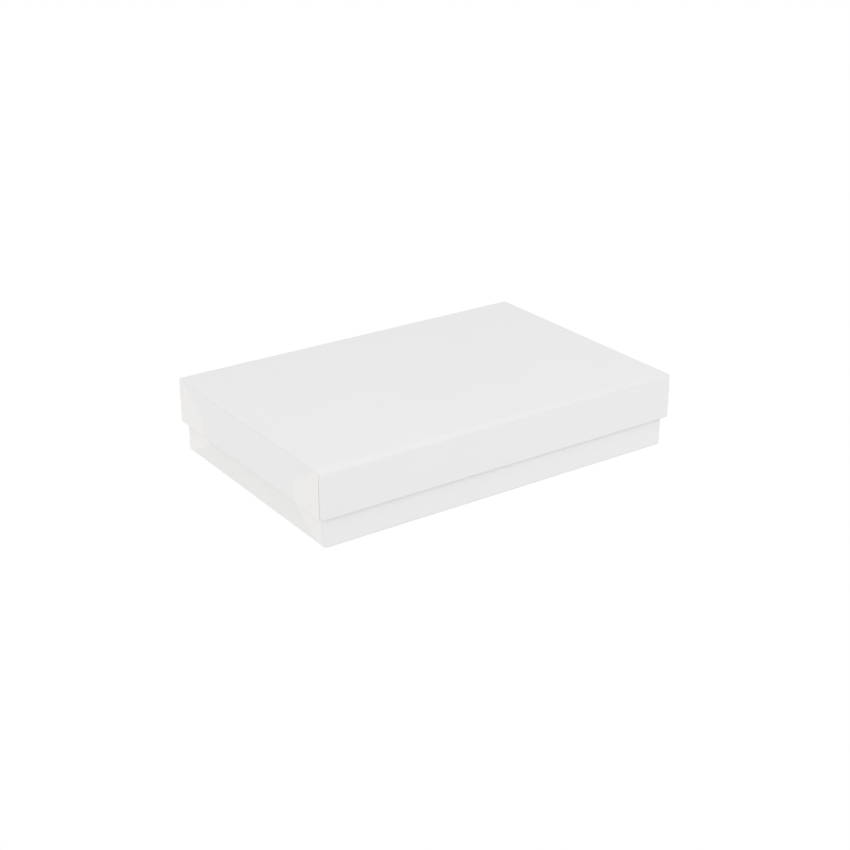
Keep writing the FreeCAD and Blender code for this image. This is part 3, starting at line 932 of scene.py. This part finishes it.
# Each crushed margin is (reach, slope) at its left-hand end and then at its right-hand end. The lid has
# been handled more than the base, most of all at its front left corner.
worn = {"front": ((5.2, 0.13), (2.6, 0.06)), "other": ((2.2, 0.06), (1.8, 0.05))}
fresh = {"front": ((1.8, 0.05), (1.6, 0.05)), "other": ((1.8, 0.05), (1.6, 0.05))}
lid = Tray("lid", 3, worn, long_fold=0.38, seam_lift=0.045, seam_step=0.08, seam_groove=0.045)
base = Tray("base", 11, fresh, long_fold=0.9, seam_lift=0.0, seam_step=0.03, seam_groove=0.0)
set_up(make_cover_paper(lid, box_top), "lid", "lid_cover_paper", lid_finish)
set_up(make_cover_paper(base, None), "base", "base_cover_paper", base_finish)
set_up(make_board(lid, box_top), "lid", "lid_board", board_finish)
set_up(make_board(base, None), "base", "base_board", board_finish)
tape = kraft_tape("kraft stay tape", "#BB9F78", "#9A7D57")
for tray in (base, lid):
    for node, slot in sorted(frame_slots.items()):
        if slot == "stay_tape" and node.startswith(tray.name):
            set_up(make_stay(tray, node), tray.name, node, tape)
pad = make_cotton_pad()
set_up(pad, "pad", "cotton_pad", cotton_finish)

lining = wove_paper("wove lining paper", "#EBEAE7", "#DBDAD6")
for tray in (lid, base):
    set_up(make_lining(tray), tray.name, tray.name + "_lining", lining)

# ---------------------------------------------------------------- stage, light and camera

# The camera, in degrees and millimetres.
CAMERA_AZIMUTH = -34.748
CAMERA_ELEVATION = 23.590
CAMERA_DISTANCE = 578.9
CAMERA_AIM = (-8.2, -11.6, 15.0)
CAMERA_LENS = 67.33
# How strongly the room and the floor glow.
WALL_GLOW = 0.556
CEILING_GLOW = 1.151
FLOOR_GLOW = 1.0
FLOOR_REACH = 3.0  # from the middle of the floor to each of its edges, in metres

scene = bpy.context.scene
world = bpy.data.worlds.new("white room")
scene.world = world
world.use_nodes = True
room = world.node_tree
room.nodes.clear()
# The room is lit more from above than from its walls. The backdrop itself is plain white.
heading = add(room, "ShaderNodeTexCoord")
upward = add(room, "ShaderNodeSeparateXYZ", {0: heading.outputs["Generated"]})
rising = {0: upward.outputs[2], 1: 0.0, 2: 1.0, 3: WALL_GLOW, 4: CEILING_GLOW}
room_glow = add(room, "ShaderNodeMapRange", rising)
seen = add(room, "ShaderNodeLightPath")
white_where_seen = {0: seen.outputs["Is Camera Ray"], 2: room_glow.outputs[0], 3: 1.0}
strength = add(room, "ShaderNodeMix", white_where_seen, data_type="FLOAT")
walls = add(room, "ShaderNodeBackground", {"Color": (1, 1, 1, 1), "Strength": strength.outputs[0]})
add(room, "ShaderNodeOutputWorld", {"Surface": walls.outputs[0]})

floor_mesh = bpy.data.meshes.new("floor")
corners = [(x * FLOOR_REACH, y * FLOOR_REACH, 0) for x, y in ((-1, -1), (1, -1), (1, 1), (-1, 1))]
floor_mesh.from_pydata(corners, [], [(0, 1, 2, 3)])
floor = bpy.data.objects.new("floor", floor_mesh)
scene.collection.objects.link(floor)
lit_floor = bpy.data.materials.new("lit floor")
lit_floor.use_nodes = True
lit_floor.node_tree.nodes.clear()
floor_glow = {"Color": (1, 1, 1, 1), "Strength": FLOOR_GLOW}
glow = add(lit_floor.node_tree, "ShaderNodeEmission", floor_glow)
add(lit_floor.node_tree, "ShaderNodeOutputMaterial", {"Surface": glow.outputs[0]})
floor_mesh.materials.append(lit_floor)


def direction_from(azimuth, elevation):
    """The direction from the box toward a place round it. Azimuth 0 is the front, and -90 the left."""
    a, e = math.radians(azimuth), math.radians(elevation)
    return Vector((math.sin(a) * math.cos(e), -math.cos(a) * math.cos(e), math.sin(e)))


def add_panel_light(name, azimuth, elevation, distance, size, power):
    """A square softbox, turned toward the box. Distance and size are in metres, and power in watts."""
    light = bpy.data.lights.new(name, "AREA")
    light.shape = "SQUARE"
    light.size = size
    light.energy = power
    lamp = bpy.data.objects.new(name, light)
    direction = direction_from(azimuth, elevation)
    lamp.location = direction * distance
    lamp.rotation_euler = direction.to_track_quat("Z", "Y").to_euler()
    scene.collection.objects.link(lamp)


add_panel_light("front softbox", 18, 35, 1.2, 0.55, 3.7)
add_panel_light("left softbox", -90, 15, 1.2, 0.6, 2.7)

camera_data = bpy.data.cameras.new("camera")
camera_data.lens = CAMERA_LENS
camera_data.sensor_width = 36  # in millimetres, as the lens is
camera = bpy.data.objects.new("camera", camera_data)
from_aim = direction_from(CAMERA_AZIMUTH, CAMERA_ELEVATION) * CAMERA_DISTANCE
camera.location = (Vector(CAMERA_AIM) + from_aim) * MM
camera.rotation_euler = (math.radians(90 - CAMERA_ELEVATION), 0, math.radians(CAMERA_AZIMUTH))
scene.collection.objects.link(camera)
scene.camera = camera
scene.view_settings.view_transform = "Standard"
